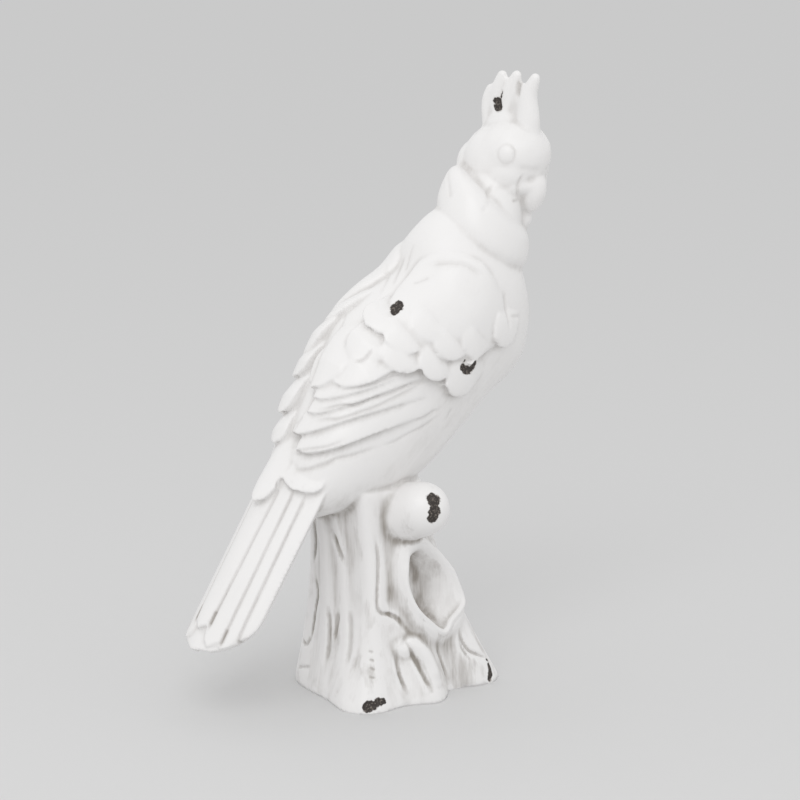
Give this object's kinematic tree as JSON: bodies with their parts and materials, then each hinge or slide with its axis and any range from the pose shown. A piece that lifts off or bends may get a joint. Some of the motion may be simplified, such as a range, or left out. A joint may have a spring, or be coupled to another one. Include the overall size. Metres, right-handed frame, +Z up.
{
  "type": "ceramic bird figurine",
  "caption": "Ceramic figurine of a crested parrot perched on a gnarled tree stump with a knot hole, hollow slip-cast in one piece.",
  "frame": {"origin": "on the standing surface, under the middle of the figure's outline seen from above", "axes": "+Z up, +X the way the bird's body faces, +Y to the bird's left"},
  "size_m": [0.2588, 0.1144, 0.3812],
  "materials": {
    "white_glaze": "warm white satin-gloss glaze with a brown-grey wash rubbed into the hollows, and dark chips"
  },
  "bodies": {
    "root": {"bird_figurine": "white_glaze"}
  },
  "joints": []
}
